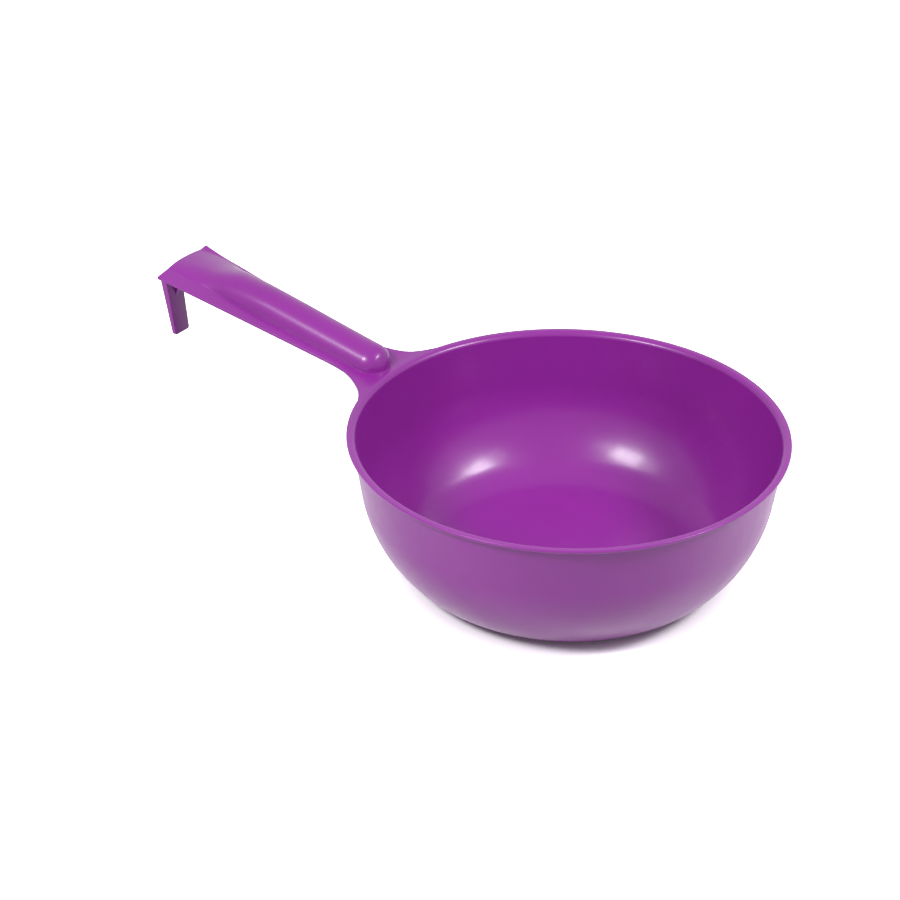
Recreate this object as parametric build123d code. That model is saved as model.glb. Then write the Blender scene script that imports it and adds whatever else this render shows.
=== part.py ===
from build123d import *
from math import asin, atan2, cos, degrees, radians, sin, sqrt, tan
import os

# Feed scoop: a round bowl with a flat rim, a channel-section handle and a hook at the handle's end.
# The real scoop is one injection moulding in polypropylene. It is built here as the regions of that
# moulding. Each is its own solid, and they meet face to face.
#
# Millimetres. The origin is the centre of the flat base, on the surface that the scoop stands on.
# +X runs along the handle, +Y is the side with the hook, and +Z is up.

# ---- Bowl ----
RIM_RADIUS = 110.0  # outside of the rim
BOWL_DEPTH = 75.5  # top of the rim to the resting face
WALL = 1.8  # thickness of the bowl's sheet
WALL_DRAFT = 7.9  # lean of the wall from upright, degrees
RIM_LAND = 1.9  # flat width on top of the rim
RIM_SHOULDER = 3.0  # rounding from the land into the inner wall
RIM_UNDERCUT = 1.5  # fillet under the rim
RIM_ZONE = 6.0  # height of the band that belongs to the rim
UPPER_TURN = 70.0  # outer radius of the long turn below the straight wall
LOWER_TURN = 27.5  # outer radius of the tight turn into the base
TURN_CHANGE = 43.0  # lean of the sheet where the two turns meet, degrees

# ---- Handle ----
PLATE = 1.6  # thickness of the rim, the web, the side flanges and the arch
HANDLE_REACH = 138.3  # rim's outside to the handle's end, seen from above
HANDLE_RISE = 10.9  # climb of the handle, degrees
HANDLE_BEND = 30.0  # radius of the bend where the handle leaves the rim's level
ROOT_HALF_WIDTH = 15.5  # side flange's edge where the web's fillets end
END_HALF_WIDTH = 21.2  # side flange's edge at the handle's end
END_SKEW = 0.5  # how far each corner of the end lies before or behind its middle
END_CORNER = 0.3  # rounding of the two end corners, seen from above
WEB_FILLET = 33.0  # concave fillet from the rim into the handle's edge
WEB_LENGTH = 23.0  # rim's outside to the end of the web, where the grip starts

# ---- Arch of the handle: half widths on the hook's and on the plain side, and heights ----
DOME_GAP = 0.6  # rim's outside to the foot of the dome
ROOT_ARCH = (11.3, 11.3, 10.2)
MIDDLE_ARCH = (11.8, 11.8, 11.0)
LATE_ARCH = (11.6, 15.0, 9.6)
FALLING_ARCH = (11.2, 17.4, 4.4)
END_ARCH = (10.6, 14.0, 1.2)
LATE_ARCH_BACK = 41.0  # the late section, back from the handle's end
FALLING_ARCH_BACK = 20.0  # the section half way down to the flat end
ARCH_SECTIONS = 13  # sections that the arch is drawn through

# ---- Hook ----
HOOK_LENGTH = 32.0  # below the handle
HOOK_TOP_WIDTH = 12.8
HOOK_TIP_WIDTH = 11.6
HOOK_TOP_THICKNESS = 4.5
HOOK_TIP_THICKNESS = 2.5
HOOK_LEAN = 6.7  # lean of its inner face towards the bowl, degrees
HOOK_INSET = 2.1  # handle's end to the hook's outer face
HOOK_EDGE_GAP = 0.4  # side flange's edge to the hook, at the handle's end
HOOK_CORNER = 1.6  # rounding of the tip's corners
GUSSET_THICKNESS = 1.3
GUSSET_HEIGHT = 10.5
GUSSET_LENGTH = 5.0

CUT_ROOM = 5.0  # how far a cutting body runs past what it cuts


# ---- Bowl: sections are drawn as (radius, height) and turned about Z ----


def on_circle(centre, radius, angle):
    """The point of a circle at an angle in degrees."""
    return (centre[0] + radius * cos(radians(angle)), centre[1] + radius * sin(radians(angle)))


def turn(centre, radius, start, end):
    """An arc about a centre, from one angle to another."""
    middle = (start + end) / 2
    return ThreePointArc(*(on_circle(centre, radius, angle) for angle in (start, middle, end)))


def lathe(*edges):
    """The solid that a closed (radius, height) outline makes when it is turned about Z."""
    return revolve(Plane.XZ * make_face(edges), Axis.Z)


def across(point):
    """How far a section's point lies out from the axis, square to the straight wall."""
    return point[0] * cos(radians(WALL_DRAFT)) - point[1] * sin(radians(WALL_DRAFT))


def on_wall(distance, height):
    """The point at a height on the straight line that lies that far out, along the wall."""
    return ((distance + height * sin(radians(WALL_DRAFT))) / cos(radians(WALL_DRAFT)), height)


# The shoulder touches the land and the inner wall, which sets where the wall stands.
shoulder_centre = (RIM_RADIUS - RIM_LAND, BOWL_DEPTH - RIM_SHOULDER)
inner_wall = across(shoulder_centre) - RIM_SHOULDER
outer_wall = inner_wall + WALL

# The fillet under the rim touches the flange's underside and the outer wall.
flange_underside = BOWL_DEPTH - PLATE
undercut_height = flange_underside - RIM_UNDERCUT
undercut_centre = on_wall(outer_wall + RIM_UNDERCUT, undercut_height)

# The two turns run from the resting face up to the straight wall. The upper turn's centre lies on
# the line through the lower turn's centre and the point where they meet.
change = on_circle((0, 0), LOWER_TURN - UPPER_TURN, -TURN_CHANGE)
base_radius = on_wall(outer_wall - UPPER_TURN - across(change), LOWER_TURN)[0]
lower_centre = (base_radius, LOWER_TURN)
upper_centre = (base_radius + change[0], LOWER_TURN + change[1])

wall_foot_inner = on_circle(upper_centre, UPPER_TURN - WALL, -WALL_DRAFT)
wall_foot_outer = on_circle(upper_centre, UPPER_TURN, -WALL_DRAFT)
rim_foot = BOWL_DEPTH - RIM_ZONE
rim_foot_inner = on_wall(inner_wall, rim_foot)
rim_foot_outer = on_wall(outer_wall, rim_foot)


def make_rim_flange():
    """Flat rim, the shoulder into the inner wall and the top few millimetres of the wall."""
    shoulder = turn(shoulder_centre, RIM_SHOULDER, 90, 180 - WALL_DRAFT)
    undercut = turn(undercut_centre, RIM_UNDERCUT, 180 - WALL_DRAFT, 90)
    return lathe(
        Line((RIM_RADIUS, BOWL_DEPTH), shoulder @ 0),
        shoulder,
        Line(shoulder @ 1, rim_foot_inner),
        Line(rim_foot_inner, rim_foot_outer),
        Line(rim_foot_outer, undercut @ 0),
        undercut,
        Line(undercut @ 1, (RIM_RADIUS, flange_underside)),
        Line((RIM_RADIUS, flange_underside), (RIM_RADIUS, BOWL_DEPTH)),
    )


def make_bowl_wall():
    """Straight, tapered wall between the rim's band and the first turn."""
    return lathe(
        Line(rim_foot_inner, wall_foot_inner),
        Line(wall_foot_inner, wall_foot_outer),
        Line(wall_foot_outer, rim_foot_outer),
        Line(rim_foot_outer, rim_foot_inner),
    )


def make_turn(centre, radius, start, end):
    """Sheet turned about one centre in the section, from one lean to another."""
    inside = turn(centre, radius - WALL, -start, -end)
    outside = turn(centre, radius, -end, -start)
    return lathe(
        inside,
        Line(inside @ 1, outside @ 0),
        outside,
        Line(outside @ 1, inside @ 0),
    )


def make_bowl_base():
    """Flat disc that the scoop stands on."""
    return extrude(Circle(base_radius), WALL)


# ---- Handle: its plan is drawn from above and its side view as (x, height) ----

rise = radians(HANDLE_RISE)
handle_end = RIM_RADIUS + HANDLE_REACH
bend_corner = RIM_RADIUS + HANDLE_BEND * tan(rise / 2)
handle_plane = Plane(
    origin=(bend_corner, 0, BOWL_DEPTH), x_dir=(cos(rise), 0, sin(rise)), z_dir=(-sin(rise), 0, cos(rise))
)
grip_start = (RIM_RADIUS + WEB_LENGTH - bend_corner) / cos(rise)
grip_end = (handle_end - bend_corner) / cos(rise)
dome_radius = ROOT_ARCH[0]
dome_middle = (RIM_RADIUS + DOME_GAP - bend_corner) / cos(rise) + dome_radius
side_taper = (END_HALF_WIDTH - ROOT_HALF_WIDTH) / (HANDLE_REACH - WEB_LENGTH)
wide = RIM_RADIUS  # wider than the handle and taller than anything on it


def edge_half_width(x):
    """Half the handle's width over its side flanges."""
    return ROOT_HALF_WIDTH + side_taper * (x - RIM_RADIUS - WEB_LENGTH)


def fillet_centre():
    """Centre of the web's fillet, which touches the rim's circle and the handle's straight edge."""
    lean = sqrt(1 + side_taper**2)
    start = edge_half_width(0) + WEB_FILLET * lean
    along = side_taper * start
    reach = (RIM_RADIUS + WEB_FILLET) ** 2
    x = (sqrt(along**2 - lean**2 * (start**2 - reach)) - along) / lean**2
    return (x, start + side_taper * x)


def make_plan():
    """Web and handle seen from above, as a tall body outside the rim's circle."""
    centre = fillet_centre()
    rim_angle = degrees(atan2(centre[1], centre[0]))
    edge_angle = degrees(atan2(side_taper, 1)) - 90
    fillet_arc = turn(centre, WEB_FILLET, rim_angle - 180, edge_angle)
    near = (handle_end - END_SKEW, edge_half_width(handle_end - END_SKEW))
    far = (handle_end + END_SKEW, -edge_half_width(handle_end + END_SKEW))
    other_arc = mirror(fillet_arc, Plane.XZ)
    outline = make_face(
        [
            fillet_arc,
            Line(fillet_arc @ 1, near),
            Line(near, far),
            Line(far, other_arc @ 1),
            other_arc,
            Line(other_arc @ 0, fillet_arc @ 0),
        ]
    )
    corners = outline.vertices().sort_by(Axis.X)[-2:]
    rounded = fillet(corners, END_CORNER)
    return extrude(rounded - Circle(RIM_RADIUS), BOWL_DEPTH + wide)


def make_band(low, high):
    """Everything between two heights over the top face of the web and handle, bend included."""
    bend_centre = (RIM_RADIUS, BOWL_DEPTH + HANDLE_BEND)
    along = Vector(cos(rise), sin(rise)) * wide * 2
    lower = turn(bend_centre, HANDLE_BEND - low, -90, HANDLE_RISE - 90)
    upper = turn(bend_centre, HANDLE_BEND - high, HANDLE_RISE - 90, -90)
    section = make_face(
        [
            Line((0, BOWL_DEPTH + low), lower @ 0),
            lower,
            Line(lower @ 1, (lower @ 1) + along),
            Line((lower @ 1) + along, (upper @ 0) + along),
            Line((upper @ 0) + along, upper @ 0),
            upper,
            Line(upper @ 1, (0, BOWL_DEPTH + high)),
            Line((0, BOWL_DEPTH + high), (0, BOWL_DEPTH + low)),
        ]
    )
    return extrude(Plane.XZ * section, wide, both=True)


def handle_zone(start, end):
    """Everything between two places along the sloping handle."""
    block = Box(end - start, 2 * wide, 2 * wide, align=(Align.MIN, Align.CENTER, Align.CENTER))
    return handle_plane * Pos(start, 0, 0) * block


def crown(half_width, height, base):
    """Centre, radius and foot angle of the arc over a base that wide and that high above it."""
    radius = (half_width**2 + height**2) / (2 * height)
    centre = (0, base + height - radius)
    return centre, radius, degrees(asin((radius - height) / radius))


def arch_section(place, hook_half, plain_half, height, inset, skirt):
    """Two arcs from one crown, on straight skirts. An inset section is the arch's inside."""
    hook_side = hook_half - inset
    plain_side = plain_half - inset
    centre, radius, foot = crown(hook_side, height, -inset)
    other_centre, other_radius, other_foot = crown(plain_side, height, -inset)
    section = make_face(
        [
            turn(centre, radius, foot, 90),
            turn(other_centre, other_radius, 90, 180 - other_foot),
            Line((-plain_side, -inset), (-plain_side, -skirt)),
            Line((-plain_side, -skirt), (hook_side, -skirt)),
            Line((hook_side, -skirt), (hook_side, -inset)),
        ]
    )
    station = Plane(origin=(place, 0, 0), x_dir=(0, 1, 0), z_dir=(1, 0, 0))
    return handle_plane * station * section


arch_end = grip_end + END_SKEW * 2  # past the skewed cut
arch_stations = [
    (dome_middle, ROOT_ARCH),
    ((dome_middle + grip_end) / 2, MIDDLE_ARCH),
    (grip_end - LATE_ARCH_BACK, LATE_ARCH),
    (grip_end - FALLING_ARCH_BACK, FALLING_ARCH),
    (arch_end, END_ARCH),
]


def eased(stations, place):
    """A value that runs smoothly through its (place, value) stations and never overshoots."""
    slopes = [(v1 - v0) / (p1 - p0) for (p0, v0), (p1, v1) in zip(stations, stations[1:])]
    tangents = [0.0]
    for before, after in zip(slopes, slopes[1:]):
        tangents.append(2 * before * after / (before + after) if before * after > 0 else 0.0)
    tangents.append(slopes[-1])
    index = min(sum(place > p for p, _ in stations[1:]), len(slopes) - 1)
    (p0, v0), (p1, v1) = stations[index], stations[index + 1]
    share = (place - p0) / (p1 - p0)
    rest = 1 - share
    bend = (p1 - p0) * share * rest
    swell = share * share * (3 - 2 * share)
    return v0 + (v1 - v0) * swell + bend * (rest * tangents[index] - share * tangents[index + 1])


def arch_size(place):
    """Both half widths and the height of the arch at a place along the sloping handle."""
    return [eased([(station, size[index]) for station, size in arch_stations], place) for index in range(3)]


def make_arch_body(inset, skirt):
    """The arch as a full body, from the dome's middle to past the handle's end."""
    step = (arch_end - dome_middle) / (ARCH_SECTIONS - 1)
    places = [dome_middle + step * index for index in range(ARCH_SECTIONS)]
    return loft([arch_section(place, *arch_size(place), inset, skirt) for place in places])


def make_dome_body(inset, skirt):
    """The rounded root end as a full body: half of a ball's cap on a round skirt."""
    half = dome_radius - inset
    centre, radius, foot = crown(half, ROOT_ARCH[2], -inset)
    cap = turn(centre, radius, foot, 90)
    section = make_face(
        [
            cap,
            Line(cap @ 1, (0, -skirt)),
            Line((0, -skirt), (half, -skirt)),
            Line((half, -skirt), cap @ 0),
        ]
    )
    ball = revolve(Plane.XZ * section, Axis.Z)
    return handle_plane * Pos(dome_middle, 0, 0) * ball & handle_zone(-wide, dome_middle)


def make_handle():
    """Web, dome, arch and the two side flanges."""
    plan = make_plan()
    plate = plan & make_band(-PLATE, 0)
    above = make_band(-PLATE, HANDLE_BEND - CUT_ROOM)
    arch_body = make_arch_body(0, PLATE + CUT_ROOM)
    dome_body = make_dome_body(0, PLATE + CUT_ROOM)
    arch_room = make_arch_body(PLATE, PLATE + 2 * CUT_ROOM)
    dome_room = make_dome_body(PLATE, PLATE + 2 * CUT_ROOM)
    sides = plate - arch_body - dome_body
    flanges = sides & handle_zone(grip_start, 2 * wide)
    side = Box(8 * wide, wide, 8 * wide, align=(Align.CENTER, Align.MIN, Align.CENTER))
    return {
        "handle_web": sides & handle_zone(-2 * wide, grip_start),
        "handle_root_dome": (dome_body - dome_room) & above,
        "grip_arch": (arch_body - arch_room) & above & plan,
        "grip_flange_hook_side": flanges & side,
        "grip_flange_plain_side": flanges - side,
    }


# ---- Hook: its side view is drawn as (x, height) and its front view as (y, height) ----


def under_handle(x):
    """The point of the handle's underside at a distance from the bowl's axis."""
    drop = PLATE / cos(rise)
    return (x, BOWL_DEPTH + (x - bend_corner) * tan(rise) - drop)


hook_outer = handle_end - HOOK_INSET
hook_inner = hook_outer - HOOK_TOP_THICKNESS
hook_root = under_handle(hook_inner)
hook_middle = END_HALF_WIDTH - HOOK_EDGE_GAP - HOOK_TOP_WIDTH / 2


def down_hook(depth):
    """The point of the hook's inner face at a depth below the handle."""
    return (hook_root[0] - depth * tan(radians(HOOK_LEAN)), hook_root[1] - depth)


def make_hook():
    """Blade that tapers in thickness and width, with rounded corners at its tip."""
    tip = down_hook(HOOK_LENGTH)
    tip_outer = (tip[0] + HOOK_TIP_THICKNESS, tip[1])
    side_view = make_face(Polyline(hook_root, tip, tip_outer, under_handle(hook_outer), close=True))
    top = under_handle(hook_outer)[1]
    half_top = HOOK_TOP_WIDTH / 2
    half_tip = HOOK_TIP_WIDTH / 2
    front_view = make_face(
        Polyline((-half_top, top), (-half_tip, tip[1]), (half_tip, tip[1]), (half_top, top), close=True)
    )
    corners = front_view.vertices().sort_by(Axis.Y)[:2]
    front_view = fillet(corners, HOOK_CORNER)
    blade = extrude(Plane.XZ * side_view, wide, both=True)
    return blade & Pos(0, hook_middle, 0) * extrude(Plane.YZ * front_view, 4 * wide)


def make_gusset():
    """Thin triangular rib in the corner between the hook and the handle."""
    side_view = make_face(
        Polyline(hook_root, down_hook(GUSSET_HEIGHT), under_handle(hook_inner - GUSSET_LENGTH), close=True)
    )
    rib = extrude(Plane.XZ * side_view, GUSSET_THICKNESS / 2, both=True)
    return Pos(0, hook_middle, 0) * rib


# ---- All the parts ----

parts = {
    "bowl_base": make_bowl_base(),
    "bowl_corner": make_turn(lower_centre, LOWER_TURN, TURN_CHANGE, 90),
    "bowl_lower_wall": make_turn(upper_centre, UPPER_TURN, WALL_DRAFT, TURN_CHANGE),
    "bowl_wall": make_bowl_wall(),
    "rim_flange": make_rim_flange(),
    "hanging_hook": make_hook(),
    "hook_gusset": make_gusset(),
    **make_handle(),
}
os.makedirs("parts", exist_ok=True)
for name, shape in parts.items():
    export_step(shape, f"parts/{name}.step")
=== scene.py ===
from math import asin, atan2, cos, degrees, hypot, pi, radians, sin, sqrt, tan

import bmesh
import bpy
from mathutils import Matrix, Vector


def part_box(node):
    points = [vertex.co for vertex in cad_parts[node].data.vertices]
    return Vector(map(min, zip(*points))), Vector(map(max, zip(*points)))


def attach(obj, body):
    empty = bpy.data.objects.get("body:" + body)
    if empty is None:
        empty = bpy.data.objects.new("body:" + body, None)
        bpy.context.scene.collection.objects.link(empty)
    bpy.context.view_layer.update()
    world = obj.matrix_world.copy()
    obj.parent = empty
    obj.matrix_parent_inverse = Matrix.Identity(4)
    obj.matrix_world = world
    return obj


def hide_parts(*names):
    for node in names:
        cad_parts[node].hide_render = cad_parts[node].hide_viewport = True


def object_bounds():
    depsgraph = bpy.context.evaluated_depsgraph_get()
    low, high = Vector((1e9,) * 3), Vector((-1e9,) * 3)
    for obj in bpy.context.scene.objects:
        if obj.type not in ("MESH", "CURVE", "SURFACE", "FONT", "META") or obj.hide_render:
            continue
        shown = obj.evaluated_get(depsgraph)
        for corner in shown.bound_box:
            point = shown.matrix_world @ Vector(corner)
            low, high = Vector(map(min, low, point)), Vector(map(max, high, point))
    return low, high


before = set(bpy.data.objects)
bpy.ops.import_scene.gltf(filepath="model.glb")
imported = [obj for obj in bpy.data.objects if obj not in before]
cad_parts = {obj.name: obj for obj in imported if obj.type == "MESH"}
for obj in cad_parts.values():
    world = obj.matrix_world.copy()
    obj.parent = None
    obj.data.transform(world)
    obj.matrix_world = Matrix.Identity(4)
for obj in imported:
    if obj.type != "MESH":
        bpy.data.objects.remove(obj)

cad_low, cad_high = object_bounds()
mm = 0.001

# ---- Bowl base ----
# The flat disc that the scoop stands on. The whole scoop is one injection moulding in glossy
# polypropylene, dyed through in purple, and the plastic came in at the shallow gate mark under
# the middle of this disc. It is turned about the upright axis, as the bowl and the rim are.

base_low, base_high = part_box("bowl_base")
wall = base_high.z - base_low.z
base_radius = base_high.y
disc_radius = base_radius - 2.5 * mm  # the disc ends inside the flat, where a seam can't show
gate_radius = 4.5 * mm
gate_depth = 0.4 * mm
sprue_radius = 1.3 * mm
sprue_length = 0.25 * mm
dish_slope = tan(radians(12))  # lean that the floor's gloss reaches where the turn starts
dish_fade = 10 * mm
PURPLE = (0.225, 0.0155, 0.257, 1)
plastic_ior = 1.49
smoothest = 0.29
dullest = 0.38
corner_angle = radians(35)  # faces that meet more sharply than this keep a hard line


def add_node(tree, kind, inputs=None, **settings):
    """A new node with its settings, and with values on some of its input sockets."""
    node = tree.nodes.new(kind)
    for setting, value in settings.items():
        setattr(node, setting, value)
    for socket, value in (inputs or {}).items():
        node.inputs[socket].default_value = value
    return node


def math_node(tree, operation, first, second=0.0, third=0.0):
    """A Math node whose inputs are numbers or other nodes' outputs."""
    node = add_node(tree, "ShaderNodeMath", operation=operation)
    for socket, value in zip(node.inputs, (first, second, third)):
        if isinstance(value, (int, float)):
            socket.default_value = value
        else:
            tree.links.new(value, socket)
    return node.outputs[0]


def floor_dish(tree, place):
    """A bump that eases the flat floor into the turn round it, as a slightly dished floor does."""
    flat = add_node(tree, "ShaderNodeVectorMath", {1: (1, 1, 0)}, operation="MULTIPLY")
    reach = add_node(tree, "ShaderNodeVectorMath", operation="LENGTH")
    past = add_node(tree, "ShaderNodeMapRange", {"From Min": base_radius})
    past.inputs["From Max"].default_value = base_radius + dish_fade
    dish = add_node(tree, "ShaderNodeBump", {"Distance": 1.0})
    tree.links.new(place.outputs["Object"], flat.inputs[0])
    tree.links.new(flat.outputs["Vector"], reach.inputs[0])
    tree.links.new(reach.outputs["Value"], past.inputs["Value"])
    inner = math_node(tree, "MINIMUM", reach.outputs["Value"], base_radius)
    cubed = math_node(tree, "POWER", inner, 3)
    rise = math_node(tree, "MULTIPLY", cubed, dish_slope / (3 * base_radius**2))
    easing = math_node(tree, "MULTIPLY_ADD", past.outputs["Result"], -0.5, 1)
    eased_past = math_node(tree, "MULTIPLY", past.outputs["Result"], easing)
    height = math_node(tree, "MULTIPLY_ADD", eased_past, dish_slope * dish_fade, rise)
    tree.links.new(height, dish.inputs["Height"])
    return dish


def moulded_plastic(name):
    """Glossy dyed plastic: a slow drift in its colour, a mould's faint orange peel and fine scuffs."""
    material = bpy.data.materials.new(name)
    material.use_nodes = True
    tree = material.node_tree
    shader = tree.nodes["Principled BSDF"]
    shader.inputs["IOR"].default_value = plastic_ior
    shader.inputs["Specular IOR Level"].default_value = 0.27
    shader.inputs["Coat Weight"].default_value = 0.31
    shader.inputs["Coat Roughness"].default_value = 0.17
    shader.inputs["Coat IOR"].default_value = plastic_ior
    place = add_node(tree, "ShaderNodeTexCoord")
    drift = add_node(tree, "ShaderNodeTexNoise", {"Scale": 14.0, "Detail": 3.0, "Roughness": 0.55})
    tint = add_node(tree, "ShaderNodeValToRGB")
    tint.color_ramp.elements[0].position = 0.3
    tint.color_ramp.elements[0].color = [channel * 0.93 for channel in PURPLE[:3]] + [1]
    tint.color_ramp.elements[1].position = 0.7
    tint.color_ramp.elements[1].color = [channel * 1.05 for channel in PURPLE[:3]] + [1]
    scuffs = add_node(tree, "ShaderNodeTexNoise", {"Scale": 90.0, "Detail": 5.0, "Roughness": 0.6})
    gloss = add_node(tree, "ShaderNodeMapRange", {"From Min": 0.35, "From Max": 0.75})
    gloss.inputs["To Min"].default_value = smoothest
    gloss.inputs["To Max"].default_value = dullest
    peel = add_node(tree, "ShaderNodeTexNoise", {"Scale": 420.0, "Detail": 2.0})
    bump = add_node(tree, "ShaderNodeBump", {"Strength": 0.02, "Distance": 0.0002})
    dish = floor_dish(tree, place)
    link = tree.links.new
    for pattern in (drift, scuffs, peel):
        link(place.outputs["Object"], pattern.inputs["Vector"])
    link(drift.outputs["Fac"], tint.inputs["Fac"])
    link(tint.outputs["Color"], shader.inputs["Base Color"])
    link(scuffs.outputs["Fac"], gloss.inputs["Value"])
    link(gloss.outputs["Result"], shader.inputs["Roughness"])
    link(peel.outputs["Fac"], bump.inputs["Height"])
    link(dish.outputs["Normal"], bump.inputs["Normal"])
    link(bump.outputs["Normal"], shader.inputs["Normal"])
    link(bump.outputs["Normal"], shader.inputs["Coat Normal"])
    return material


def arc(centre, radius, start, end, steps):
    """Points of a circle between two angles in degrees, both ends included."""
    angles = [radians(start + (end - start) * step / steps) for step in range(steps + 1)]
    return [(centre[0] + radius * cos(angle), centre[1] + radius * sin(angle)) for angle in angles]


def run(start, end, shares):
    """Points between two others, at shares of the way. The two themselves aren't among them."""
    return [tuple(a + (b - a) * share for a, b in zip(start, end)) for share in shares]


def make_turning_tree():
    """Geometry Nodes that turn a closed section about the upright axis."""
    tree = bpy.data.node_groups.new("turned_section", "GeometryNodeTree")
    tree.interface.new_socket("Section", in_out="INPUT", socket_type="NodeSocketGeometry")
    tree.interface.new_socket("Facets", in_out="INPUT", socket_type="NodeSocketInt")
    tree.interface.new_socket("Path radius", in_out="INPUT", socket_type="NodeSocketFloat")
    tree.interface.new_socket("Material", in_out="INPUT", socket_type="NodeSocketMaterial")
    tree.interface.new_socket("Piece", in_out="OUTPUT", socket_type="NodeSocketGeometry")
    entry = add_node(tree, "NodeGroupInput")
    section = add_node(tree, "GeometryNodeMeshToCurve")
    path = add_node(tree, "GeometryNodeCurvePrimitiveCircle")
    upright = add_node(tree, "GeometryNodeSetCurveNormal", mode="Z_UP")
    sweep = add_node(tree, "GeometryNodeCurveToMesh")
    poles = add_node(tree, "GeometryNodeMergeByDistance", {"Distance": 0.001 * mm})
    smooth = add_node(tree, "GeometryNodeSetShadeSmooth")
    plain = add_node(tree, "GeometryNodeRealizeInstances")
    finish = add_node(tree, "GeometryNodeSetMaterial")
    leave = add_node(tree, "NodeGroupOutput")
    link = tree.links.new
    link(entry.outputs["Section"], section.inputs["Mesh"])
    link(entry.outputs["Facets"], path.inputs["Resolution"])
    link(entry.outputs["Path radius"], path.inputs["Radius"])
    link(path.outputs["Curve"], upright.inputs["Curve"])
    link(upright.outputs["Curve"], sweep.inputs["Curve"])
    link(section.outputs["Curve"], sweep.inputs["Profile Curve"])
    link(sweep.outputs["Mesh"], poles.inputs["Geometry"])
    link(poles.outputs["Geometry"], smooth.inputs["Geometry"])
    link(smooth.outputs["Geometry"], plain.inputs["Geometry"])
    link(plain.outputs["Geometry"], finish.inputs["Geometry"])
    link(entry.outputs["Material"], finish.inputs["Material"])
    link(finish.outputs["Geometry"], leave.inputs["Piece"])
    return tree


turning_tree = make_turning_tree()


def add_object(name, mesh):
    """An object at the origin that holds a mesh."""
    piece = bpy.data.objects.new(name, mesh)
    bpy.context.scene.collection.objects.link(piece)
    return piece


def crisp_corners(mesh):
    """Smooth faces, with a hard line only where two of them meet at a real corner."""
    mesh.polygons.foreach_set("use_smooth", [True] * len(mesh.polygons))
    mesh.set_sharp_from_angle(angle=corner_angle)


def finish_piece(piece, *nodes):
    """Rides on the scoop's one body and hides the CAD nodes that it stands for."""
    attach(piece, "root")
    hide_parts(*nodes)


def turned(name, section, material, facets=288):
    """A closed (radius, height) section turned about the upright axis into a plain mesh."""
    outline = bpy.data.meshes.new(name + "_section")
    points = [(radius - base_radius, -height, 0) for radius, height in section]
    edges = [(index, (index + 1) % len(points)) for index in range(len(points))]
    edges = [(a, b) for a, b in edges if section[a][0] or section[b][0]]
    outline.from_pydata(points, edges, [])
    maker = add_object(name + "_maker", outline)
    modifier = maker.modifiers.new("turning", "NODES")
    modifier.node_group = turning_tree
    inputs = {"Facets": facets, "Path radius": base_radius, "Material": material}
    for item in turning_tree.interface.items_tree:
        if item.name in inputs:
            modifier[item.identifier] = inputs[item.name]
    depsgraph = bpy.context.evaluated_depsgraph_get()
    mesh = bpy.data.meshes.new_from_object(maker.evaluated_get(depsgraph))
    bpy.data.objects.remove(maker)
    crisp_corners(mesh)
    return add_object(name, mesh)


def base_section():
    """Half of the disc, with the gate mark under its middle."""
    return [
        (0, wall),
        *run((0, wall), (disc_radius, wall), (0.05, 0.2, 0.4, 0.6, 0.8, 0.99)),
        (disc_radius, wall),
        (disc_radius, 0),
        *run((disc_radius, 0), (gate_radius, 0), (0.01, 0.2, 0.5, 0.8, 0.98)),
        (gate_radius, 0),
        (gate_radius * 0.93, gate_depth * 0.7),
        (gate_radius * 0.8, gate_depth),
        (sprue_radius * 1.1, gate_depth),
        (sprue_radius, gate_depth - sprue_length * 0.7),
        (sprue_radius * 0.8, gate_depth - sprue_length),
        (0, gate_depth - sprue_length),
    ]


plastic = moulded_plastic("purple_polypropylene")
bowl_base = turned("bowl_base_disc", base_section(), plastic)
finish_piece(bowl_base, "bowl_base")

# ---- Bowl ----
# The sheet that rises from the flat base: a tight turn out of the base, a long soft turn, and then
# a straight tapered wall up to the band below the rim. One even wall thickness, as moulded.

rim_low, rim_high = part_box("rim_flange")
rim_radius = rim_high.y
bowl_depth = rim_high.z
wall_draft = 7.9
upper_turn = 70 * mm
lower_turn = 27.5 * mm
turn_change = 43.0
rim_foot = rim_low.z
rim_land = 1.9 * mm
rim_shoulder = 3.0 * mm
turn_margin = 0.6 * mm  # how far inside the start of the turn the last ring of the flat lies


def across(point):
    """How far a section's point lies out from the axis, square to the straight wall."""
    return point[0] * cos(radians(wall_draft)) - point[1] * sin(radians(wall_draft))


def on_wall(distance, height):
    """The point at a height on the straight line that lies that far out, along the wall."""
    return ((distance + height * sin(radians(wall_draft))) / cos(radians(wall_draft)), height)


shoulder_centre = (rim_radius - rim_land, bowl_depth - rim_shoulder)
inner_wall = across(shoulder_centre) - rim_shoulder
outer_wall = inner_wall + wall
lower_centre = (base_radius, lower_turn)
extra_turn = upper_turn - lower_turn
upper_centre = (
    base_radius - extra_turn * sin(radians(90 - turn_change)),
    lower_turn + extra_turn * sin(radians(turn_change)),
)


def sheet_side(inset, wall_line):
    """One side of the sheet, from the flat base up to the rim's band."""
    lower = arc(lower_centre, lower_turn - inset, -90, -turn_change, 32)
    upper = arc(upper_centre, upper_turn - inset, -turn_change, -wall_draft, 32)
    top = on_wall(wall_line, rim_foot)
    flat = [(disc_radius, inset), (base_radius - turn_margin, inset)]
    return flat + lower + upper[1:] + run(upper[-1], top, (0.05, 0.35, 0.7, 0.95)) + [top]


outside = sheet_side(0, outer_wall)
inside = sheet_side(wall, inner_wall)
bowl = turned("bowl_shell", inside + outside[::-1], plastic)
finish_piece(bowl, "bowl_corner", "bowl_lower_wall", "bowl_wall")

# ---- Rim ----
# The flat flange that stiffens the mouth. The inner wall rolls over into it with a wide shoulder, a
# fillet runs under it, and the free edge is broken by the mould's small radius.

plate = 1.6 * mm
rim_undercut = 1.5 * mm
edge_round = 0.5 * mm


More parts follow.
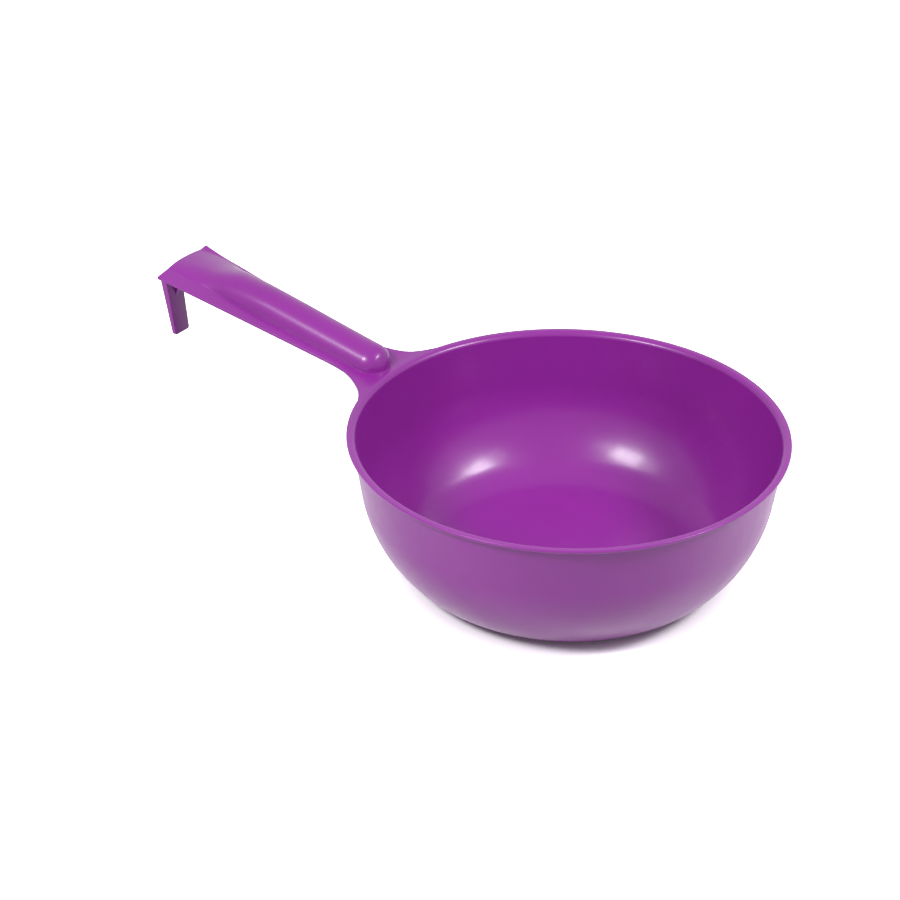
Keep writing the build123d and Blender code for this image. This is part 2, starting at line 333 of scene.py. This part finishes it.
def rim_section():
    """Flat land, rounded free edge, underside, fillet, band of wall and the inner shoulder."""
    edge_top = (rim_radius - edge_round, bowl_depth - edge_round)
    edge_under = (rim_radius - edge_round, bowl_depth - plate + edge_round)
    undercut_centre = on_wall(outer_wall + rim_undercut, bowl_depth - plate - rim_undercut)
    shoulder = arc(shoulder_centre, rim_shoulder, 180 - wall_draft, 90, 24)
    edge = arc(edge_top, edge_round, 90, 0, 6) + arc(edge_under, edge_round, 0, -90, 6)
    undercut = arc(undercut_centre, rim_undercut, 90, 180 - wall_draft, 16)
    foot_out = on_wall(outer_wall, rim_foot)
    foot_in = on_wall(inner_wall, rim_foot)
    return [
        *shoulder,
        *run(shoulder[-1], edge[0], (0.1, 0.5, 0.9)),
        *edge,
        *undercut,
        *run(undercut[-1], foot_out, (0.2, 0.9)),
        foot_out,
        foot_in,
        *run(foot_in, shoulder[0], (0.1, 0.8)),
    ]


rim = turned("rim_flange_rolled", rim_section(), plastic)
finish_piece(rim, "rim_flange")

# ---- Handle root ----
# Where the handle grows out of the rim: a flat web with a wide fillet on each side, and the rounded
# end of the hollow arch that stands on it. All of it is the same sheet, open underneath.

handle_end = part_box("grip_flange_plain_side")[1].x
handle_rise = radians(10.9)
bend_radius = 30 * mm
web_length = 23 * mm
web_fillet = 33 * mm
root_half_width = 15.5 * mm
end_half_width = 21.2 * mm
end_skew = 0.5 * mm
end_middle = handle_end - end_skew
end_corner = 0.3 * mm
side_taper = (end_half_width - root_half_width) / (end_middle - rim_radius - web_length)
lap = 1.5 * mm  # how far the web's sheet runs in over the rim's land
lift = 0.01 * mm  # how far the web's faces stand clear of the rim's
hairline = 0.02 * mm  # the smallest round, on an edge that lies hidden on another piece
flank_slope = radians(78)
root_arch = (11.3 * mm, 11.3 * mm, 10.2 * mm)
middle_arch = (11.8 * mm, 11.8 * mm, 11.0 * mm)
late_arch = (11.6 * mm, 15.0 * mm, 9.42 * mm)
falling_arch = (11.2 * mm, 17.0 * mm, 4.25 * mm)
end_arch = (10.6 * mm, 14.0 * mm, 1.1 * mm)
late_arch_back = 41 * mm
falling_arch_back = 20 * mm
flange_droop = tan(radians(8))
droop_from = 14 * mm
dome_gap = 0.6 * mm
arch_fillet = 0.25 * mm
near_end_fillet = 1.0 * mm  # what the foot's fillet grows by towards the end, on the hook's side
far_end_fillet = 2.6 * mm
lip_rise = 0.7 * mm  # how far the plain side's corner turns up at the end
least_flat = 0.1 * mm  # flat that is left between the foot's fillet and the free edge's round


def along_from(x):
    """Distance along the bent sheet, from the rim's outside, for a place seen from above."""
    reach = x - rim_radius
    bend_reach = bend_radius * sin(handle_rise)
    if reach <= 0:
        return reach
    if reach <= bend_reach:
        return bend_radius * asin(reach / bend_radius)
    return bend_radius * handle_rise + (reach - bend_reach) / cos(handle_rise)


def on_sheet(along, side, height):
    """The point at a height over the top face of the rim, the bend and the rising handle."""
    lean = min(max(along / bend_radius, 0), handle_rise)
    past = max(along - bend_radius * handle_rise, 0)
    x = rim_radius + min(along, 0) + bend_radius * sin(lean) + past * cos(lean)
    z = bowl_depth + bend_radius * (1 - cos(lean)) + past * sin(lean)
    return Vector((x - height * sin(lean), side, z + height * cos(lean)))


def half_width(x):
    """Half the handle's width over its side flanges."""
    return root_half_width + side_taper * (x - rim_radius - web_length)


def fillet_centre():
    """Centre of the web's fillet, which touches the rim's circle and the handle's straight edge."""
    lean = sqrt(1 + side_taper**2)
    start = half_width(0) + web_fillet * lean
    along = side_taper * start
    reach = (rim_radius + web_fillet) ** 2
    x = (sqrt(along**2 - lean**2 * (start**2 - reach)) - along) / lean**2
    return (x, start + side_taper * x)


web_centre = fillet_centre()
web_touch = atan2(web_centre[1], web_centre[0])  # angle where the fillet touches the rim
web_end = web_centre[0] + web_fillet * side_taper / sqrt(1 + side_taper**2)


def web_side(x):
    """Distance from the handle's middle line to the web's or the handle's edge."""
    if x >= web_end:
        return half_width(x)
    return web_centre[1] - sqrt(web_fillet**2 - (x - web_centre[0]) ** 2)


split = along_from(rim_radius + web_length)
dome_middle = along_from(rim_radius + dome_gap) + root_arch[0]
last_place = along_from(end_middle)
falling_place = last_place - falling_arch_back
arch_stations = [
    (dome_middle, root_arch),
    ((dome_middle + last_place) / 2, middle_arch),
    (last_place - late_arch_back, late_arch),
    (falling_place, falling_arch),
    (last_place + end_skew * 2, end_arch),
]


def swell(share):
    """A smooth step from 0 to 1."""
    share = min(max(share, 0), 1)
    return share * share * (3 - 2 * share)


def eased(stations, place):
    """A value that runs smoothly through its (place, value) stations and never overshoots."""
    slopes = [(v1 - v0) / (p1 - p0) for (p0, v0), (p1, v1) in zip(stations, stations[1:])]
    tangents = [0.0]
    for before, after in zip(slopes, slopes[1:]):
        tangents.append(2 * before * after / (before + after) if before * after > 0 else 0.0)
    tangents.append(slopes[-1])
    last = len(slopes) - 1
    index = min(sum(place > p for p, _ in stations[1:]), last)
    (p0, v0), (p1, v1) = stations[index], stations[index + 1]
    share = (place - p0) / (p1 - p0)
    rest = 1 - share
    bend = (p1 - p0) * share * rest
    pull = rest * tangents[index] - share * tangents[index + 1]
    return v0 + (v1 - v0) * swell(share) + bend * pull


def arch_size(along):
    """Both half widths and the height of the arch at a place along the handle."""
    tables = [[(place, size[index]) for place, size in arch_stations] for index in range(3)]
    return [eased(table, along) for table in tables]


def crown_and_foot(foot_half, height, base, fillet, thinner):
    """Half of an arch as (out, up) points: the crown's arc, a straight flank and the foot's fillet.
    A thinner one runs inside the sheet's other face."""
    half = foot_half + fillet * tan(flank_slope / 2)
    both = (half - height / tan(flank_slope)) / tan(flank_slope / 2)
    slope = flank_slope
    if both * (1 - cos(slope)) > height:
        both = (half**2 + height**2) / (2 * height)
        slope = asin(half / both)
    crown_radius = both - fillet - thinner
    turned_by = degrees(slope)
    crown = arc((0, base + height - crown_radius), crown_radius, 90, 90 - turned_by, 20)
    foot = arc((half, base + fillet + thinner), fillet + thinner, 270 - turned_by, 270, 10)
    return crown, foot


def half_sheet(half, height, fillet, edge, rounded, inset):
    """Half of the handle's section as (out, up) points: over the top, round the free edge and back
    under to the middle. An inset one is thinner by that much on both faces, for the end's rounding."""
    crown, foot = crown_and_foot(half, height, 0, fillet, 0)
    under_crown, under_foot = crown_and_foot(half, height, -plate, fillet, plate)
    top = [(out, up - inset) for out, up in crown + foot]
    under = [(out, up + inset) for out, up in under_crown + under_foot]
    radius = max(min(edge_round, plate / 2 - inset), hairline) if rounded else hairline
    rim_top = arc((edge - radius, -inset - radius), radius, 90, 0, 5)
    rim_under = arc((edge - radius, inset - plate + radius), radius, 0, -90, 5)
    flat_top = run(top[-1], rim_top[0], (0.06, 0.3, 0.6, 0.94))
    flat_under = run(rim_under[-1], under[-1], (0.06, 0.4, 0.7, 0.94))
    return top + flat_top + rim_top + rim_under + flat_under + under[::-1]


def in_sheet(x, side):
    """Whether a place seen from above lies in the web's sheet, its lap over the rim included."""
    radius = hypot(x, side)
    if radius < rim_radius - lap:
        return False
    if radius < rim_radius:
        return atan2(side, x) < web_touch
    return x > rim_radius * cos(web_touch) and side < web_side(x)


def fan_edge(angle):
    """How far the web's sheet reaches from the dome's middle, and whether its edge is a free one."""
    near, far = root_arch[0], 2 * web_fillet
    for _ in range(40):
        reach = (near + far) / 2
        if in_sheet(on_sheet(dome_middle + reach * cos(angle), 0, 0).x, abs(reach * sin(angle))):
            near = reach
        else:
            far = reach
    spot = on_sheet(dome_middle + near * cos(angle), 0, 0)
    return near, hypot(spot.x, near * sin(angle)) > rim_radius - lap / 2


def sweep_station(along, way, from_end=None):
    """The half section on one side of the handle's middle line. way is 1 or -1."""
    near_half, far_half, height = arch_size(along)
    half = near_half if way > 0 else far_half
    x = on_sheet(along, 0, 0).x
    edge = web_side(x)
    inset = 0
    if from_end is not None and from_end < edge_round:
        inset = edge_round - sqrt(edge_round**2 - (edge_round - from_end) ** 2)
    if from_end is not None and from_end < end_corner:
        edge -= end_corner - sqrt(end_corner**2 - (end_corner - from_end) ** 2)
    room = (edge - edge_round - half - least_flat) / tan(flank_slope / 2)
    nearing = (along - last_place + late_arch_back) / (late_arch_back - falling_arch_back)
    widest = near_end_fillet if way > 0 else far_end_fillet
    fillet = min(arch_fillet + widest * swell(nearing), room)
    points = half_sheet(half, height, fillet, edge, True, inset)
    share = min(max((along - falling_place) / falling_arch_back, 0), 1)
    droop = flange_droop * swell((along - droop_from) / (split - droop_from))
    lip = 0
    if way < 0:
        droop *= 1 - swell(share)
        lip = lip_rise * share**3
    placed = []
    for out, up in points:
        up -= droop * max(out - half - arch_fillet, 0)
        up += lip * swell((out - half) / (edge - half))
        shift = share * (up * tan(handle_rise) - end_skew * way * out / end_half_width)
        placed.append(on_sheet(along + shift, way * out, up + lift))
    return placed


def fan_station(angle):
    """The half section that points from the dome's middle at an angle, seen from above."""
    edge, free = fan_edge(angle)
    points = half_sheet(root_arch[0], root_arch[2], arch_fillet, edge, free, 0)
    return [
        on_sheet(dome_middle + out * cos(angle), out * sin(angle), up + lift) for out, up in points
    ]


def sheet_mesh(strips):
    """A mesh from strips of equally long half sections, each joined to the next of its strip."""
    mesh = bmesh.new()
    for strip in strips:
        rows = [[mesh.verts.new(point) for point in station] for station in strip]
        for row, after in zip(rows, rows[1:]):
            for index in range(len(row) - 1):
                mesh.faces.new((row[index], row[index + 1], after[index + 1], after[index]))
    return mesh


def close_mesh(mesh, name, material):
    """Merges seams and poles, turns the faces outward, and makes the piece."""
    bmesh.ops.remove_doubles(mesh, verts=mesh.verts, dist=0.0005 * mm)
    bmesh.ops.dissolve_degenerate(mesh, edges=mesh.edges, dist=0.0001 * mm)
    bmesh.ops.recalc_face_normals(mesh, faces=mesh.faces)
    data = bpy.data.meshes.new(name)
    mesh.to_mesh(data)
    mesh.free()
    data.materials.append(material)
    crisp_corners(data)
    return add_object(name, data)


def end_caps(mesh, station, other, count):
    """Closes the two half sections of one end between their top and under faces."""
    for points in (station, other):
        row = [mesh.verts.new(point) for point in points]
        last = len(row) - 1
        for index in range(count):
            corners = (row[index], row[index + 1], row[last - index - 1], row[last - index])
            mesh.faces.new(corners)


fan_steps = 72
corner_step = 0.0002  # radians from a corner to the stations on both sides of it


def fan_angles():
    """Even steps round the dome's root end, and the two spots each side where the web's edge turns."""
    angles = [pi / 2 + pi * step / fan_steps for step in range(fan_steps + 1)]
    for radius in (rim_radius, rim_radius - lap):
        reach = radius * cos(web_touch) - rim_radius - dome_middle
        corner = atan2(radius * sin(web_touch), reach)
        for angle in (corner - corner_step, corner + corner_step):
            angles += [angle, 2 * pi - angle]
    return sorted(angles)


root_steps = 8
root_places = [split + (dome_middle - split) * step / root_steps for step in range(root_steps)]
near_root = [sweep_station(place, 1) for place in root_places]
fan = [fan_station(angle) for angle in fan_angles()]
far_root = [sweep_station(place, -1) for place in root_places]
root_mesh = sheet_mesh([near_root + fan + far_root[::-1]])
half_count = (len(fan[0]) - 1) // 2
end_caps(root_mesh, near_root[0], far_root[0], half_count)
handle_root = close_mesh(root_mesh, "handle_root_and_web", plastic)
finish_piece(handle_root, "handle_web", "handle_root_dome")

# ---- Grip ----
# The handle proper: a hollow arch between two flat side flanges, one sheet thick and open below. It
# widens a little and flattens out towards its end, which is cut nearly square with a broken edge.

grip_steps = 60
round_off = [0.0, 0.03, 0.08, 0.16, 0.3, 0.45, 0.7, 1.0, 2.0]
grip_places = [(last_place - back * mm, back * mm) for back in round_off]
body_end = grip_places[-1][0]
for step in range(1, grip_steps + 1):
    grip_places.append((body_end + (split - body_end) * step / grip_steps, None))
near_grip = [sweep_station(place, 1, back) for place, back in grip_places]
far_grip = [sweep_station(place, -1, back) for place, back in grip_places]
grip_mesh = sheet_mesh([near_grip, far_grip])
end_caps(grip_mesh, near_grip[0], far_grip[0], half_count)
end_caps(grip_mesh, near_grip[-1], far_grip[-1], half_count)
grip = close_mesh(grip_mesh, "grip_channel", plastic)
finish_piece(grip, "grip_arch", "grip_flange_hook_side", "grip_flange_plain_side")

# ---- Hanging hook ----
# The blade under the handle's end that hangs the scoop on a bucket's edge or a rail. It tapers in
# width and thickness to a tip with rounded corners, and all its edges are broken.

hook_low, hook_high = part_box("hanging_hook")
hook_length = 32 * mm
hook_tip_thickness = 2.5 * mm
hook_tip_half = 5.8 * mm
hook_lean = tan(radians(6.7))
hook_corner = 1.6 * mm
hook_edge = 0.6 * mm
hook_outer_top = hook_high.x
hook_middle = (hook_low.y + hook_high.y) / 2
hook_top_half = (hook_high.y - hook_low.y) / 2
tip_height = hook_low.z
tip_inner = hook_low.x


def rounded_box_loop(low_x, high_x, middle, half, corner):
    """A rectangle with rounded corners, as (x, y) points all the way round."""
    spots = [(high_x, half, 0), (low_x, half, 90), (low_x, -half, 180), (high_x, -half, 270)]
    loop = []
    for x, side, start in spots:
        centre = (x - corner if x == high_x else x + corner, side - corner if side > 0 else side + corner)
        loop += arc(centre, corner, start, start + 90, 5)
    return [(x, middle + y) for x, y in loop]


def hook_loop(height):
    """The blade's outline at a height."""
    top_height = tip_height + hook_length
    down = (top_height - height) / hook_length
    up = 1 - down
    inner = tip_inner + hook_lean * (height - tip_height)
    tip_outer = tip_inner + hook_tip_thickness
    outer = tip_outer + (hook_outer_top - tip_outer) * up * hook_length / (hook_high.z - tip_height)
    half = hook_tip_half + (hook_top_half - hook_tip_half) * min(up, 1)
    above_tip = height - tip_height
    if above_tip < hook_corner:
        half -= hook_corner - sqrt(hook_corner**2 - (hook_corner - above_tip) ** 2)
    inset = 0
    if above_tip < hook_edge:
        inset = hook_edge - sqrt(hook_edge**2 - (hook_edge - above_tip) ** 2)
    loop = rounded_box_loop(inner + inset, outer - inset, hook_middle, half - inset, hook_edge)
    return [(x, y, height) for x, y in loop]


def lofted(name, loops, material):
    """A closed mesh through a stack of equally long loops."""
    mesh = bmesh.new()
    rows = [[mesh.verts.new(point) for point in loop] for loop in loops]
    for row, after in zip(rows, rows[1:]):
        for index in range(len(row)):
            beyond = (index + 1) % len(row)
            mesh.faces.new((row[index], row[beyond], after[beyond], after[index]))
    mesh.faces.new(rows[0])
    mesh.faces.new(rows[-1])
    return close_mesh(mesh, name, material)


hook_rises = [0, 0.03, 0.1, 0.2, 0.35, 0.6, 0.9, 1.3, 2.0, 2.3, 6, 10, 14, 18, 22, 26, 29, hook_length / mm]
hook_loops = [hook_loop(tip_height + rise * mm) for rise in hook_rises]
hook = lofted("hanging_hook_blade", hook_loops, plastic)
finish_piece(hook, "hanging_hook")

# ---- Hook gusset ----
# A thin triangular rib that stiffens the inside corner between the hook and the handle. It is
# moulded with them, and its free edge is broken like theirs.

gusset_low, gusset_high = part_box("hook_gusset")
gusset_edge = 0.25 * mm
gusset_sink = 0.2 * mm  # how far the top corner lies below the top of the rib's box
gusset_half = (gusset_high.y - gusset_low.y) / 2
gusset_middle = (gusset_high.y + gusset_low.y) / 2


def gusset_mesh():
    """The triangle, drawn from the side, with both faces."""
    foot = gusset_low.z
    corner_x = tip_inner + hook_lean * (foot - tip_height)
    side_view = [
        (corner_x, foot),
        (gusset_high.x, gusset_high.z - gusset_sink),
        (gusset_low.x, gusset_high.z - (gusset_high.x - gusset_low.x) * tan(handle_rise)),
    ]
    mesh = bmesh.new()
    faces = []
    for side in (gusset_middle + gusset_half, gusset_middle - gusset_half):
        faces.append([mesh.verts.new((x, side, z)) for x, z in side_view])
    mesh.faces.new(faces[0])
    mesh.faces.new(faces[1])
    for index in range(3):
        beyond = (index + 1) % 3
        mesh.faces.new((faces[0][index], faces[0][beyond], faces[1][beyond], faces[1][index]))
    bmesh.ops.bevel(mesh, geom=mesh.edges[:], offset=gusset_edge, segments=3, profile=0.5, affect="EDGES")
    return mesh


gusset = close_mesh(gusset_mesh(), "hook_gusset_rib", plastic)
finish_piece(gusset, "hook_gusset")

# ---- Studio ----
# A white table that keeps the scoop's shadow and has painted shade close under it, plain light from all
# round, and two soft lamps above the sides, each with a wide, faint one behind it.

# The table's darkening close under the scoop is painted shade, scaled by ambient occlusion.
painted_shade_reach = 0.0145  # how near the scoop the table starts to darken
painted_shade_depth = 0.36  # share of the table's brightness that is left where they meet


def looked_at(tree):
    """The light path, and 1 where the camera, a reflection or a view through glass looks."""
    path = add_node(tree, "ShaderNodeLightPath")
    rays = path.outputs
    seen = math_node(tree, "MAXIMUM", rays["Is Camera Ray"], rays["Is Glossy Ray"])
    return rays, math_node(tree, "MAXIMUM", seen, rays["Is Transmission Ray"])


def lit_white(name, brightness, mirrored):
    """White at one brightness to the camera and another in reflections, with shadows kept, and with painted
    shade close under the scoop, where ambient occlusion darkens the colour that the camera sees.
    """
    material = bpy.data.materials.new(name)
    material.use_nodes = True
    tree = material.node_tree
    tree.nodes.remove(tree.nodes["Principled BSDF"])
    rays, looked = looked_at(tree)
    plain = add_node(tree, "ShaderNodeBsdfDiffuse", {"Color": (0.5, 0.5, 0.5, 1)})
    bright = add_node(tree, "ShaderNodeBsdfDiffuse")
    # Painted shade: ambient occlusion darkens the table's colour, as the camera sees it, close under the
    # scoop.
    painted_shade_nearness = add_node(tree, "ShaderNodeAmbientOcclusion", {"Distance": painted_shade_reach}, samples=8)
    painted_contact_shade = add_node(tree, "ShaderNodeMapRange", {"To Max": brightness})
    painted_contact_shade.inputs["To Min"].default_value = brightness * painted_shade_depth
    level = add_node(tree, "ShaderNodeMapRange", {"To Min": mirrored})
    either = add_node(tree, "ShaderNodeMixShader")
    link = tree.links.new
    link(painted_shade_nearness.outputs["AO"], painted_contact_shade.inputs["Value"])
    link(rays["Is Camera Ray"], level.inputs["Value"])
    link(painted_contact_shade.outputs["Result"], level.inputs["To Max"])
    link(level.outputs["Result"], bright.inputs["Color"])
    link(looked, either.inputs["Fac"])
    link(plain.outputs["BSDF"], either.inputs[1])
    link(bright.outputs["BSDF"], either.inputs[2])
    link(either.outputs["Shader"], tree.nodes["Material Output"].inputs["Surface"])
    return material


table_radius = 3.0
table_gap = 0.05 * mm
table_mesh = bpy.data.meshes.new("table")
bmesh_table = bmesh.new()
bmesh.ops.create_circle(bmesh_table, cap_ends=True, segments=64, radius=table_radius)
for vertex in bmesh_table.verts:
    vertex.co.z = cad_low.z - table_gap
bmesh_table.to_mesh(table_mesh)
bmesh_table.free()
table_mesh.materials.append(lit_white("table_white", 2.0, 1.25))
table = add_object("table", table_mesh)


def make_world(level):
    """Even light at a level, and plain white wherever the camera or a reflection looks."""
    world = bpy.data.worlds.new("studio")
    bpy.context.scene.world = world
    world.use_nodes = True
    tree = world.node_tree
    looked = looked_at(tree)[1]
    strength = add_node(tree, "ShaderNodeMapRange", {"To Min": level, "To Max": 1.0})
    tree.links.new(looked, strength.inputs["Value"])
    background = tree.nodes["Background"]
    background.inputs["Color"].default_value = (1, 1, 1, 1)
    tree.links.new(strength.outputs["Result"], background.inputs["Strength"])


def soft_lamp(name, azimuth, elevation, distance, size, radiance):
    """A rectangular soft lamp that faces the scoop, from an azimuth and an elevation in degrees."""
    light = bpy.data.lights.new(name, "AREA")
    light.shape = "RECTANGLE"
    light.size, light.size_y = size
    light.energy = radiance * pi * size[0] * size[1]
    lamp = add_object(name, light)
    turn, tilt = radians(azimuth), radians(elevation)
    way = Vector((cos(turn) * cos(tilt), sin(turn) * cos(tilt), sin(tilt)))
    lamp.location = way * distance
    lamp.rotation_euler = way.to_track_quat("Z", "Y").to_euler()


make_world(0.39)
soft_lamp("soft_lamp_right", -162.5, 46.5, 1.3, (0.34, 0.25), 33.0)
soft_lamp("wide_lamp_right", -162.5, 46.5, 1.32, (0.9, 0.22), 4.4)
soft_lamp("soft_lamp_left", 74, 46, 1.3, (0.34, 0.25), 37.0)
soft_lamp("wide_lamp_left", 74, 46, 1.32, (0.9, 0.22), 4.4)

# ---- Camera ----
# A long lens a metre and more away, above the bowl and across from the handle. At that distance
# the near side of the rim comes out about a fifth larger than the far side.

camera_data = bpy.data.cameras.new("camera")
camera_data.lens = 88
camera_data.sensor_width = 36
camera = add_object("camera", camera_data)
camera.location = (-0.48654, 0.81136, 0.61975)
camera_way = Vector((0.48817, -0.71029, -0.50713))
camera.rotation_euler = camera_way.to_track_quat("-Z", "Y").to_euler()
bpy.context.scene.camera = camera
bpy.context.scene.view_settings.view_transform = "Standard"
